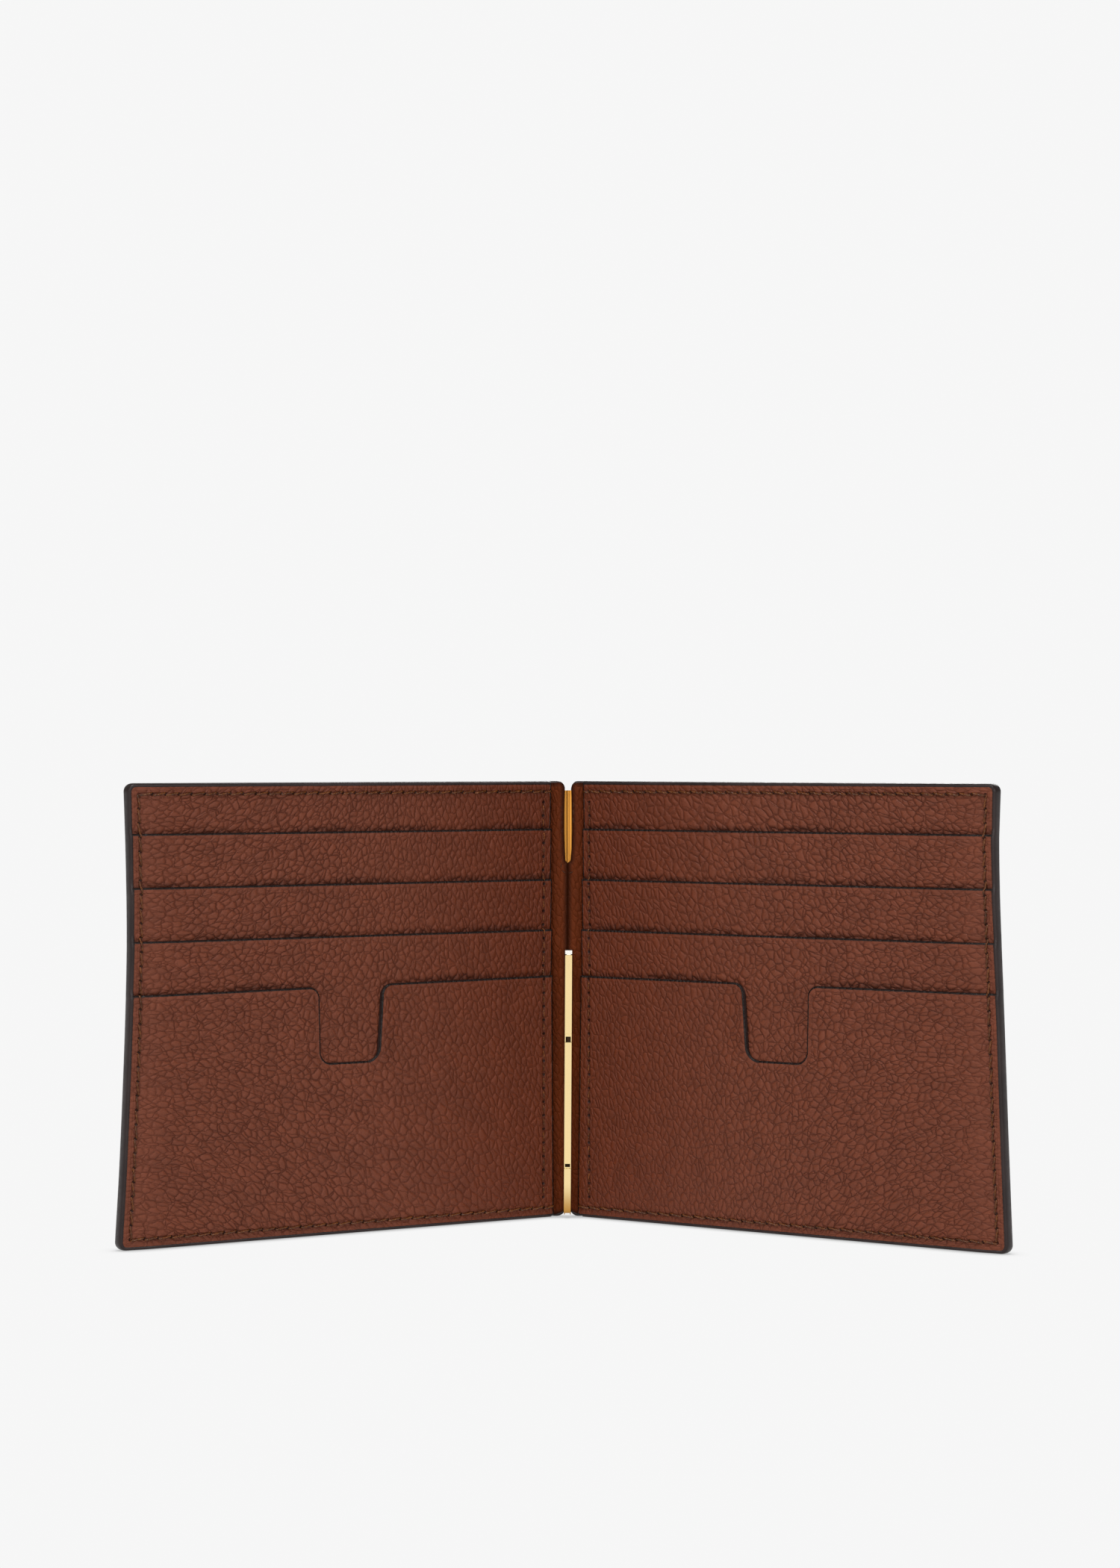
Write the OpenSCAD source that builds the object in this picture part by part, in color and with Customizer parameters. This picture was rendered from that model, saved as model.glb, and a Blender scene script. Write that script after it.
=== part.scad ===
// Bifold money-clip wallet, standing open on its lower edges like a book.
// +Z is up, the insides of the two panels face -Y, and the spine is at the back.
// The origin is the middle of the bounding box, on the surface that the wallet stands on.

/* [Panels] */
// Height of the wallet, from its lower to its upper edge
wallet_h = 88; // [84:0.5:95]
// Distance from the middle of the spine to a panel's outer edge, along the leather
panel_reach = 98; // [96:0.5:104]
// Angle that each panel is folded forward from flat open
open_angle = 34; // [5:1:75]
// Radius of the outer corners
corner_r = 1.5; // [0.5:0.1:4]

/* [Leather layers] */
// Thickness of the outer cover
cover_t = 0.9; // [0.9:0.05:1.2]
// Thickness of the stiffening board let into the back of the cover
board_t = 0.2; // [0.1:0.05:0.4]
// Distance from the board's edge to the cover's edge
board_inset = 4; // [3:0.5:10]
// Thickness of the lining
lining_t = 0.35; // [0.3:0.01:0.38]
// Thickness of the base sheet that the pockets are sewn to
base_t = 0.35; // [0.25:0.05:0.4]
// Thickness of a card pocket
pocket_t = 0.3; // [0.2:0.02:0.32]
// Thickness of the deep front pocket
front_t = 0.4; // [0.3:0.02:0.42]
// Air left between two sheets
sheet_gap = 0.02; // [0.01:0.005:0.03]

/* [Pockets] */
// Distance from the wallet's top edge to the mouth of the first card pocket
first_mouth = 9.6; // [7:0.1:12]
// Distance from one pocket mouth to the next
mouth_pitch = 10.15; // [8:0.05:11]
// Depth of a card pocket below its mouth
pocket_depth = 50; // [46:0.5:54]
// Distance from the middle of the spine to the middle of the thumb notch
notch_reach = 50; // [35:0.5:70]
// Width of the thumb notch at its mouth
notch_w = 14.4; // [11:0.1:18]
// Width of the thumb notch at its bottom
notch_bottom_w = 13; // [9:0.1:16]
// Depth of the thumb notch
notch_depth = 14.7; // [8:0.1:20]
// Radius of the thumb notch's corners
notch_r = 2.2; // [1:0.1:4]

/* [Spine] */
// Distance from the middle of the spine to each fold line
fold_x = 3.9; // [3.9:0.05:4.6]
// Cover left bare on each side of a fold line
fold_gap = 0.65; // [0.65:0.05:0.8]
// Distance from a fold line to the inner edge of the lining and the pockets
stack_start = 1.25; // [1.25:0.05:2]
// Half of the width of the slit between the two lips of the spine
slit_half = 0.7; // [0.6:0.05:0.9]
// Depth of the notch at the top of the spine
top_notch = 1.9; // [1:0.1:4]
// Depth of the notch at the bottom of the spine
bottom_notch = 2.2; // [1.5:0.1:4]
// Height where the slit that shows the rail ends
slit_end = 71.7; // [60:0.1:80]

/* [Clip] */
// Width of the sprung arm
arm_w = 1.4; // [1.3:0.05:1.4]
// Depth of the sprung arm, front to back
arm_d = 3.4; // [3:0.1:4]
// Height of the arm's tip
arm_top = 54; // [40:0.5:75]
// Height of the arm's lowest point
arm_bottom = 0.6; // [0.4:0.1:1.5]
// Thickness of the arm's two side walls
arm_wall = 0.2; // [0.15:0.01:0.25]
// Thickness of the arm's front web
arm_web = 0.3; // [0.2:0.05:0.4]
// Width of the rail that the spine holds
rail_w = 2; // [1.6:0.1:2.4]
// Thickness of the rail
rail_t = 0.5; // [0.4:0.05:0.5]
// Radius of the hinge pin
pin_r = 0.5; // [0.4:0.05:0.6]
// Running clearance of the pin in the rail's eye
pin_clearance = 0.05; // [0.03:0.01:0.08]

/* [Stitching] */
// Distance from the edge of the leather to the stitches
stitch_inset = 2.1; // [1.8:0.1:3]
// Length from one stitch to the next
stitch_pitch = 2.7; // [2:0.1:4]
// Radius of the thread
thread_r = 0.2; // [0.15:0.01:0.2]

/* [Hidden] */
$fn = 48;

leather = [0.43, 0.24, 0.18];
inner_leather = [0.45, 0.26, 0.19];
board = [0.35, 0.28, 0.22];
thread = [0.52, 0.30, 0.14];
gold = [0.93, 0.74, 0.42];
steel = [0.62, 0.62, 0.64];

// Each sheet's depth is measured from the cover's outer face towards the inside.
pockets = 3;
panel_l = panel_reach - fold_x;
lining_depth = cover_t + sheet_gap;
base_depth = lining_depth + lining_t + sheet_gap;
first_depth = base_depth + base_t + sheet_gap;
front_depth = first_depth + pockets * (pocket_t + sheet_gap);
panel_t = front_depth + front_t;
board_gap = 0.01;
sharp_r = 0.2;
past = 1;

// The spine's place, so that the bounding box is centred front to back.
cover_half = cover_t / 2;
spine_y = (panel_l * sin(open_angle) + (panel_t - cover_half) * cos(open_angle) - cover_half) / 2;

// The rail lies half let into the cover, with the lining's two lips in front of it.
groove_d = cover_half;
rail_back = sheet_gap;
rail_front = rail_back + rail_t;
lip_back = rail_front + sheet_gap;
lip_front = lip_back + lining_t;
lip_corner_r = 2.2;
spine_half = fold_x - fold_gap;
rail_bottom = 1.5;
rail_top = wallet_h - top_notch;

// The arm hangs in front of the lips and turns on a pin near its lower end.
arm_gap = 0.29;
arm_back = lip_front + arm_gap;
arm_front = arm_back + arm_d;
knuckle_r = arm_d / 2;
pin_y = -(arm_back + knuckle_r);
pin_z = arm_bottom + knuckle_r;
web_wrap = 50;
channel_w = arm_w - 2 * arm_wall;
eye_gap = 0.15;
eye_r = knuckle_r - arm_web - eye_gap;
tongue_w = channel_w - 0.14;
tongue_below = 0.6;
cap_h = 0.8;
cap_gap = 0.15;
cap_overhang = 0.06;
shank_h = 3;
shank_play = 0.02;
window_step = 0.15;
rail_groove_d = 0.15;

// Middle, height and step side of the two windows in the arm's web.
windows = [[36.05, 1.1, 1], [10.7, 0.6, -1]];

// Place and width of the two grooves drawn along the rail.
rail_grooves = [[0.19, 0.18], [-0.15, 0.06]];

stitch_len = 2;
tack_r = 0.1;
tack_x = 2.4;
tack_low = 69;
tack_high = 85;

function arc(centre, r, from, to, steps = 8) =
    [for (i = [0:steps]) centre + r * [cos(from + (to - from) * i / steps),
                                       sin(from + (to - from) * i / steps)]];

function mouth(k) = wallet_h - first_mouth - (k - 1) * mouth_pitch;

function pocket_face(k) = first_depth + k * (pocket_t + sheet_gap) - sheet_gap;

// Depth of the face that a stitch at height z lies on.
function inside_face(z) =
    z > mouth(1) ? base_depth + base_t :
    z > mouth(2) ? pocket_face(1) :
    z > mouth(3) ? pocket_face(2) :
    z > mouth(4) ? pocket_face(3) : panel_t;

// Outline of a sheet with square inner corners and rounded outer corners.
function sheet_outline(u0, u1, z0, z1, r) = concat(
    arc([u0 + sharp_r, z0 + sharp_r], sharp_r, 180, 270),
    arc([u1 - r, z0 + r], r, 270, 360),
    arc([u1 - r, z1 - r], r, 0, 90),
    arc([u0 + sharp_r, z1 - sharp_r], sharp_r, 90, 180));

// Outline of the front pocket, with the thumb notch in its upper edge.
function notched_outline(u0, u1, z1, r, mid) = concat(
    arc([u0 + sharp_r, sharp_r], sharp_r, 180, 270),
    arc([u1 - r, r], r, 270, 360),
    arc([u1 - sharp_r, z1 - sharp_r], sharp_r, 0, 90),
    arc([mid + notch_w / 2 + notch_r, z1 - notch_r], notch_r, 90, 180),
    arc([mid + notch_bottom_w / 2 - notch_r, z1 - notch_depth + notch_r], notch_r, 0, -90),
    arc([mid - notch_bottom_w / 2 + notch_r, z1 - notch_depth + notch_r], notch_r, -90, -180),
    arc([mid - notch_w / 2 - notch_r, z1 - notch_r], notch_r, 0, 90),
    arc([u0 + sharp_r, z1 - sharp_r], sharp_r, 90, 180));

// Outline of the spine, with a rounded notch for the rail at each end.
function spine_outline(half, r) = concat(
    [[half, 0], [half, wallet_h]],
    arc([slit_half + r, wallet_h - r], r, 90, 180),
    [[slit_half, rail_top], [-slit_half, rail_top]],
    arc([-slit_half - r, wallet_h - r], r, 0, 90),
    [[-half, wallet_h], [-half, 0]],
    arc([-slit_half - r, r], r, 270, 360),
    [[-slit_half, bottom_notch + sheet_gap], [slit_half, bottom_notch + sheet_gap]],
    arc([slit_half + r, r], r, 180, 270));

// Stands a flat outline up: its x runs along the panel and its y becomes height.
module sheet(depth, t) {
    translate([0, cover_half - depth, 0])
        rotate([90, 0, 0])
            linear_extrude(height = t)
                children();
}

// Turns an outline drawn in (y, z) into a solid of width w across the spine.
module across(w) {
    rotate([90, 0, 90])
        linear_extrude(height = w, center = true)
            children();
}

module right_side() {
    translate([fold_x, spine_y, 0])
        rotate([0, 0, -open_angle])
            children();
}

module left_side() {
    mirror([1, 0, 0])
        right_side()
            children();
}

module at_spine() {
    translate([0, spine_y, 0])
        children();
}

// One row of stitches that lies on a panel's inner or outer face.
// A stitch that crosses a pocket mouth lies on the face below the mouth.
module stitch_row(from, to, inside) {
    run = to - from;
    count = round(norm(run) / stitch_pitch);
    for (i = [0:count - 1]) {
        mid = from + run * (i + 0.5) / count;
        inner_y = cover_half - inside_face(mid[1] - stitch_len / 2) - thread_r;
        face = inside ? inner_y : cover_half + thread_r;
        translate([mid[0], face, mid[1]])
            rotate(run[0] == 0 ? [0, 0, 0] : [0, 90, 0])
                cylinder(h = stitch_len, r = thread_r, center = true, $fn = 16);
    }
}

module cover_sheet() {
    difference() {
        sheet(0, cover_t)
            polygon(sheet_outline(fold_gap, panel_l, 0, wallet_h, corner_r));
        sheet(cover_t - board_t, board_t + past)
            polygon(sheet_outline(fold_gap + board_inset - board_gap, panel_l - board_inset + board_gap,
                                  board_inset - board_gap, wallet_h - board_inset + board_gap, corner_r));
    }
}

module stiffener_sheet() {
    sheet(cover_t - board_t + board_gap, board_t - board_gap)
        polygon(sheet_outline(fold_gap + board_inset, panel_l - board_inset,
                              board_inset, wallet_h - board_inset, corner_r));
}

module full_sheet(depth, t) {
    sheet(depth, t)
        polygon(sheet_outline(stack_start, panel_l, 0, wallet_h, corner_r));
}

module pocket_sheet(k) {
    sheet(first_depth + (k - 1) * (pocket_t + sheet_gap), pocket_t)
        polygon(sheet_outline(stack_start, panel_l, mouth(k) - pocket_depth, mouth(k), sharp_r));
}

module front_sheet() {
    sheet(front_depth, front_t)
        polygon(notched_outline(stack_start, panel_l, mouth(pockets + 1), corner_r,
                                notch_reach - fold_x));
}

// The lockstitch along the upper, outer and lower edges, through every layer.
module edge_rows() {
    u0 = stack_start + stitch_inset;
    u1 = panel_l - stitch_inset;
    z0 = stitch_inset;
    z1 = wallet_h - stitch_inset;
    for (inside = [true, false]) {
        stitch_row([u0, z0], [u1, z0], inside);
        stitch_row([u1, z0], [u1, z1], inside);
        stitch_row([u0, z1], [u1, z1], inside);
    }
}

// The row that closes the pockets next to the spine, through the pocket layers only.
module inner_row() {
    u = stack_start + stitch_inset;
    stitch_row([u, 2 * stitch_inset], [u, wallet_h - 2 * stitch_inset], true);
}

module spine_cover() {
    color(leather)
        at_spine()
            difference() {
                sheet(0, cover_t)
                    polygon(spine_outline(spine_half, lip_corner_r));
                translate([-rail_w / 2 - sheet_gap, -cover_half - past, rail_bottom - sheet_gap])
                    cube([rail_w + 2 * sheet_gap, groove_d + past, rail_top]);
            }
}

module spine_lining() {
    color(inner_leather)
        at_spine()
            difference() {
                sheet(cover_half + lip_back, lining_t)
                    polygon(spine_outline(spine_half, lip_corner_r));
                translate([-slit_half, -lip_front - past, slit_end])
                    cube([2 * slit_half, lining_t + 2 * past, wallet_h]);
                translate([-slit_half, -lip_front - past, -past])
                    cube([2 * slit_half, lining_t + 2 * past, pin_z + eye_r + past + sheet_gap]);
            }
}

module spine_stitching() {
    rows = round((tack_high - tack_low) / stitch_pitch);
    color(thread)
        at_spine()
            for (side = [-1, 1]) {
                for (i = [0:rows - 1])
                    translate([side * tack_x, -lip_front - tack_r, tack_low + (i + 0.5) * stitch_pitch])
                        cylinder(h = stitch_len, r = tack_r, center = true, $fn = 16);
                translate([side * tack_x / 2, -lip_front - tack_r, tack_low])
                    rotate([0, 90, 0])
                        cylinder(h = stitch_len, r = tack_r, center = true, $fn = 16);
            }
}

// A flat rail with two drawn grooves, and a tongue with an eye for the hinge pin.
module clip_rail() {
    color(gold)
        at_spine()
            difference() {
                union() {
                    translate([-rail_w / 2, -rail_front, rail_bottom])
                        cube([rail_w, rail_t, rail_top - rail_bottom]);
                    across(tongue_w) {
                        translate([pin_y, pin_z - tongue_below])
                            square([-pin_y - rail_front + rail_t / 2, tongue_below + eye_r]);
                        translate([pin_y, pin_z])
                            circle(r = eye_r);
                    }
                }
                translate([0, pin_y, pin_z])
                    rotate([0, 90, 0])
                        cylinder(h = arm_w + 2 * past, r = pin_r + pin_clearance, center = true);
                for (g = rail_grooves)
                    translate([g[0] - g[1] / 2, -rail_front - past, pin_z + eye_r + past])
                        cube([g[1], rail_groove_d + past, wallet_h]);
            }
}

// A channel open towards the spine, with a round knuckle, two windows and the pin holes.
module clip_arm() {
    body_top = arm_top - cap_h - cap_gap;
    color(gold)
        at_spine()
            difference() {
                across(arm_w) {
                    translate([-arm_front, pin_z])
                        square([arm_d, body_top - pin_z]);
                    translate([pin_y, pin_z])
                        circle(r = knuckle_r);
                }
                across(channel_w) {
                    translate([-arm_front + arm_web, pin_z])
                        square([arm_d, body_top]);
                    translate([pin_y, pin_z])
                        circle(r = knuckle_r - arm_web);
                    translate([pin_y, pin_z])
                        polygon(concat([[0, 0]], arc([0, 0], 2 * knuckle_r, 180 + web_wrap, 360)));
                }
                translate([0, pin_y, pin_z])
                    rotate([0, 90, 0])
                        cylinder(h = arm_w + 2 * past, r = pin_r, center = true);
                for (w = windows) {
                    translate([-channel_w / 2, -arm_front - past, w[0] - w[1] / 2])
                        cube([channel_w, arm_web + 2 * past, w[1]]);
                    translate([-arm_w, -arm_front - past, w[0] - w[1] / 2 - (w[2] > 0 ? 0 : w[1] / 2)])
                        cube([2 * arm_w, past + window_step, w[1] * 1.5]);
                }
            }
}

module clip_hinge_pin() {
    color(steel)
        at_spine()
            translate([0, pin_y, pin_z])
                rotate([0, 90, 0])
                    cylinder(h = arm_w, r = pin_r, center = true);
}

// A bowed leaf between the arm's walls, from just above the knuckle to the upper window.
module clip_leaf_spring() {
    leaf_t = 0.2;
    leaf_w = channel_w - 0.1;
    low = pin_z + eye_r + 0.4;
    high = 42;
    bow = knuckle_r - arm_web - leaf_t - 0.1;
    chord = high - low;
    leaf_r = chord * chord / (8 * bow) + bow / 2;
    sweep = 2 * asin(chord / 2 / leaf_r);
    centre = [pin_y - bow + leaf_r, (low + high) / 2];
    color(steel)
        at_spine()
            across(leaf_w)
                polygon(concat(arc(centre, leaf_r, 180 - sweep / 2, 180 + sweep / 2, 24),
                               arc(centre, leaf_r + leaf_t, 180 + sweep / 2, 180 - sweep / 2, 24)));
}

module clip_tip_cap() {
    color(gold)
        at_spine() {
            translate([-arm_w / 2 - cap_overhang, -arm_front - cap_overhang, arm_top - cap_h])
                cube([arm_w + 2 * cap_overhang, arm_d + 2 * cap_overhang, cap_h]);
            translate([-channel_w / 2 + shank_play, -arm_front + arm_web + shank_play,
                       arm_top - cap_h - shank_h])
                cube([channel_w - 2 * shank_play, arm_d - arm_web - 2 * shank_play, shank_h]);
        }
}

module left_cover() { color(leather) left_side() cover_sheet(); }
module left_stiffener() { color(board) left_side() stiffener_sheet(); }
module left_lining() { color(inner_leather) left_side() full_sheet(lining_depth, lining_t); }
module left_pocket_base() { color(inner_leather) left_side() full_sheet(base_depth, base_t); }
module left_card_pocket_1() { color(inner_leather) left_side() pocket_sheet(1); }
module left_card_pocket_2() { color(inner_leather) left_side() pocket_sheet(2); }
module left_card_pocket_3() { color(inner_leather) left_side() pocket_sheet(3); }
module left_front_pocket() { color(inner_leather) left_side() front_sheet(); }
module left_edge_stitching() { color(thread) left_side() edge_rows(); }
module left_inner_stitching() { color(thread) left_side() inner_row(); }

module right_cover() { color(leather) right_side() cover_sheet(); }
module right_stiffener() { color(board) right_side() stiffener_sheet(); }
module right_lining() { color(inner_leather) right_side() full_sheet(lining_depth, lining_t); }
module right_pocket_base() { color(inner_leather) right_side() full_sheet(base_depth, base_t); }
module right_card_pocket_1() { color(inner_leather) right_side() pocket_sheet(1); }
module right_card_pocket_2() { color(inner_leather) right_side() pocket_sheet(2); }
module right_card_pocket_3() { color(inner_leather) right_side() pocket_sheet(3); }
module right_front_pocket() { color(inner_leather) right_side() front_sheet(); }
module right_edge_stitching() { color(thread) right_side() edge_rows(); }
module right_inner_stitching() { color(thread) right_side() inner_row(); }

spine_cover();
spine_lining();
spine_stitching();
clip_rail();
clip_arm();
clip_hinge_pin();
clip_leaf_spring();
clip_tip_cap();
left_cover();
left_stiffener();
left_lining();
left_pocket_base();
left_card_pocket_1();
left_card_pocket_2();
left_card_pocket_3();
left_front_pocket();
left_edge_stitching();
left_inner_stitching();
right_cover();
right_stiffener();
right_lining();
right_pocket_base();
right_card_pocket_1();
right_card_pocket_2();
right_card_pocket_3();
right_front_pocket();
right_edge_stitching();
right_inner_stitching();
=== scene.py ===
import math
import random

import bmesh
import bpy
import numpy as np
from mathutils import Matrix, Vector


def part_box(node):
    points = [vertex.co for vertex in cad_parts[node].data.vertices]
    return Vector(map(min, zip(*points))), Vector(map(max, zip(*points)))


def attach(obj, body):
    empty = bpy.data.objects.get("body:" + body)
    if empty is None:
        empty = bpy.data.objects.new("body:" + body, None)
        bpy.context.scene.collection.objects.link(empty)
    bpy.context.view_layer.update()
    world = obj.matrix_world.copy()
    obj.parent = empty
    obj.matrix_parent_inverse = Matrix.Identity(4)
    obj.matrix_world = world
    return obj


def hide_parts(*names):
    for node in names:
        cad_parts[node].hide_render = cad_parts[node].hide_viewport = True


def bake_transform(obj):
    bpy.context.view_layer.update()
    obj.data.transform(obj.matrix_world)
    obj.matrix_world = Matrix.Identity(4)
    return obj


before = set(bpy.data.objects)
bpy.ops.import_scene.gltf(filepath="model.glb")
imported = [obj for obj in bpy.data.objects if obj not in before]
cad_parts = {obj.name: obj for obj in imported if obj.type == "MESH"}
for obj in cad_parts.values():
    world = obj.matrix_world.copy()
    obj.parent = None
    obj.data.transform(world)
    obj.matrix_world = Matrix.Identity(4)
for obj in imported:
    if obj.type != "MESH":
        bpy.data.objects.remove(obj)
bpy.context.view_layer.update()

# Everything below is in millimetres until place() turns it into metres.
MM = 0.001
SIDES = {"left": -1, "right": 1}

# Sizes shared with the CAD frame.
OPEN_ANGLE = math.radians(34)
COVER_HALF = 0.45
FOLD_X = 3.9
SPINE_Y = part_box("spine_cover")[1].y / MM - COVER_HALF
WALLET_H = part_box("left_cover")[1].z / MM
PANEL_L = 94.1
COVER_T = 0.9
LINING_FRONT = 1.27
SPINE_LINING_FRONT = 1.34
FIRST_MOUTH = 9.6
MOUTH_PITCH = 10.15
POCKET_DEPTH = 50
NOTCH_MID = {"left": 47.1, "right": 46.1}
NOTCH_W = {"left": 13.8, "right": 14.4}
NOTCH_BOTTOM_W = {"left": 12.4, "right": 13}
NOTCH_DEPTH = 14.7
NOTCH_R = 2.2
STITCH_INSET = 2.1
STITCH_PITCH = 2.7
ARM_TOP = 53
ARM_WINDOWS = ((36.05, 0.56), (10.7, 0.31))
RAIL_GROOVES = ((0.19, 0.10), (-0.15, 0.04))

# How the real leather differs from flat sheets: the painted edge, and the depth of the pockets' faces.
BULGE = 0.35
STACK_TOP = 3.15
SLOPE = 0.0443
FLAT_FACES = (1.64, 1.96, 2.28, 2.60, 3.02)
CORNER_R = 1.3
BEND = 1.3
RELIEF = 0.11
GRAIN_MIDDLE = 44
EDGE_PINCH = 0.22
EDGE_ROUND = 0.26
U_END = PANEL_L - BULGE
Z_LOW = BULGE
Z_HIGH = WALLET_H - BULGE
FRONT_MOUTH = WALLET_H - FIRST_MOUTH - 3 * MOUTH_PITCH
FINE = (0, 0.05, 0.11, 0.18, 0.27, 0.4, 0.6, 0.9)
FIRST_SEED = {"left": 1, "right": 7}

# The two halves aren't quite alike. The flare's values are its upper end, its power and its reach;
# the others are values near the fold and far from it, or at the bottom and at the top.
FLARE_LOW = {"left": (60, 1.55, 2.6), "right": (78, 1.15, 3.2)}
FLARE_FROM = 60
FLARE_HIGH = 0.6
FRONT_RISE = {"left": (0.85, 0.0), "right": (0.80, 0.70)}
STACK_START = {"left": (0.3, 0.9), "right": (-0.6, 0.8)}

# The opening over the rail, between the lining's lips, and the notches of the shell behind it.
SLIT_HALF = 0.02
LENS_HEIGHTS = (71.4, 71.7, 72.2, 74.5, 78.0, 82.0, 88.0)
LENS_HALVES = (SLIT_HALF, 0.36, 0.52, 0.66, 0.74, 0.72, 0.56)
LENS_WIDTH = {"left": 1.0, "right": 1.25}
LENS_ROWS = (71.4, 71.5, 71.6, 71.7, 71.9, 72.2)
LIP_ROUND = 0.9
LIP_END = 3.0
SLIT_CORNER = 1.5
SLIT_FOOT = 1.7
SLIT_FOOT_WIDTH = 2.6
SHELL_GAP = 0.7
SHELL_NOTCH = (2.25, 85.9)
COVER_THINNING = 0.44

# Stitches: the radius of a ply, its distance from the middle of the thread, and the slant.
EDGE_STITCH = (0.135, 0.07, 0.5)
INNER_STITCH = (0.085, 0.06, 0.12)
SPINE_STITCH = (0.05, 0.04, 0.05)

# The spine's stitch rows, the tack under the rail's opening and how far the clip leans to the right.
SPINE_ROW_LOW = {"left": 72.4, "right": 79.2}
SPINE_ROW_HIGH = 85.0
SPINE_ROW_GAP = 1.15
SPINE_PITCH = 1.6
TACK = {
    "left": (((1.3, 71.6), (1.3, 70.2)), ((1.25, 70.0), (0.4, 69.4))),
    "right": (((0.3, 69.35), (1.1, 69.7)),),
}
ARM_LEAN = 0.3


def smooth(t):
    t = np.clip(t, 0, 1)
    return t * t * (3 - 2 * t)


def mouth(k):
    """Height of the mouth of pocket k; 0 stands for the base sheet and 4 for the front pocket."""
    return WALLET_H - FIRST_MOUTH - (k - 1) * MOUTH_PITCH if k else WALLET_H + 0.55


def layer_face(k, z):
    """Depth of the front face of layer k, from the cover's outer face; each layer leans on the next one."""
    return np.maximum(FLAT_FACES[k], STACK_TOP - SLOPE * (mouth(k) - z))


def front_rise(side, u):
    """How far the front pocket's mouth stands above its flat height."""
    near, far = FRONT_RISE[side]
    return near + (far - near) * np.clip(u / PANEL_L, 0, 1)


def stack_face(side, u, z):
    """Depth of the face that shows at height z."""
    face = layer_face(0, z)
    for k in range(1, 5):
        rise = front_rise(side, u) if k == 4 else 0
        face = np.where(z <= mouth(k) + rise, layer_face(k, z), face)
    return face


def stack_start(side, z):
    low, high = STACK_START[side]
    return low + (high - low) * np.clip(z / WALLET_H, 0, 1)


def wave(side, u, z):
    """Slow waves that all the layers of a panel share, apart from the parts by the fold and at the foot."""
    s = SIDES[side]
    free = smooth((u - 4) / 20) * smooth((z - 3) / 16)
    return free * (0.10 * np.sin(u / 11 + 1.3 * s + z / 23) + 0.07 * np.sin(z / 9 + 2.1 * s - u / 37))


def place(side, u, z, d, bends=True):
    """Turns distance from the fold, height and depth into the frame's metres."""
    u, z, d = np.broadcast_arrays(*(np.asarray(a, float) for a in (u, z, d)))
    d = d * (1 - EDGE_PINCH * smooth((u - U_END + 6) / 6))
    turn = OPEN_ANGLE * (smooth((u + BEND) / (2 * BEND)) if bends else np.ones(u.shape))
    start, power, reach = FLARE_LOW[side]
    low = reach * np.clip((start - z) / start, 0, 1) ** power
    high = FLARE_HIGH * np.clip((z - FLARE_FROM) / (WALLET_H - FLARE_FROM), 0, 1) ** 2
    out = np.where(u > 0, u * (1 + (low + high) / PANEL_L), u)
    v = COVER_HALF - d - wave(side, u, z)
    x = FOLD_X + out * np.cos(turn) + v * np.sin(turn)
    y = SPINE_Y - out * np.sin(turn) + v * np.cos(turn)
    return np.stack([SIDES[side] * x, y, z], -1) * MM


def spread(start, end, step, fine_start=False, fine_end=False):
    """Positions from start to end, closer together at a fine end."""
    low = [start + f for f in FINE] if fine_start else [start]
    high = [end - f for f in FINE[::-1]] if fine_end else [end]
    count = max(2, int(math.ceil((high[0] - low[-1]) / step)) + 1)
    return np.concatenate([low, np.linspace(low[-1], high[0], count)[1:-1], high])


def shares(start, end, step, fine_start=False, fine_end=False):
    return (spread(start, end, step, fine_start, fine_end) - start) / (end - start)


def merge_rows(*groups):
    rows = []
    for h in sorted(np.concatenate(groups)):
        if not rows or h - rows[-1] > 0.025:
            rows.append(h)
    return np.array(rows)


def corner_rows(edge, radius, sign, steps=8):
    """Heights that sample a quarter round whose flat end is at edge."""
    turns = np.linspace(0, math.pi / 2, steps + 1)
    return edge + sign * radius * (1 - np.cos(turns))


def rounding(depth, radius):
    """How far a quarter round of this radius draws back at a depth past its start."""
    return radius - np.sqrt(radius ** 2 - np.clip(depth, 0, radius) ** 2)


def right_end(z, r_low, r_high):
    """Outer limit of a sheet, with rounded corners."""
    return U_END - rounding(r_low - (z - Z_LOW), r_low) - rounding(r_high - (Z_HIGH - z), r_high)


class Grid:
    """A sheet's flat grid: rows are heights, and each segment between two limits has its own columns."""

    def __init__(self, rows, limits, columns, spans=None):
        parts = []
        segment = []
        for k, share in enumerate(columns):
            low, high = limits[k], limits[k + 1]
            part = low[:, None] + (high - low)[:, None] * share
            parts.append(part if k == 0 else part[:, 1:])
            segment += [k] * (len(share) - 1)
        self.u = np.hstack(parts)
        self.z = np.repeat(rows[:, None], self.u.shape[1], 1)
        index = np.arange(self.u.size).reshape(self.u.shape)
        quads = np.stack([index[:-1, :-1], index[:-1, 1:], index[1:, 1:], index[1:, :-1]], -1)
        keep = np.ones(quads.shape[:2], bool)
        middle = (rows[:-1] + rows[1:]) / 2
        for k, span in enumerate(spans or []):
            if span:
                beyond = (middle < span[0]) | (middle > span[1])
                keep &= ~((np.array(segment) == k) & beyond[:, None])
        self.quads = quads[keep]
        self.u = self.u.ravel()
        self.z = self.z.ravel()


def rim_loop(quads):
    """Directed boundary edges of a set of quads."""
    edges = np.concatenate([quads[:, [i, (i + 1) % 4]] for i in range(4)])
    key = np.sort(edges, 1)
    _, first, counts = np.unique(key, axis=0, return_index=True, return_counts=True)
    return edges[first[counts == 1]]


def line_distance(points, start, run):
    """Distance of every point from a line, and its share of the way along it."""
    rel = points - start
    t = np.clip(rel @ run / max(run @ run, 1e-9), 0, 1)
    return np.hypot(*(rel - t[:, None] * run).T), t


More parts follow.
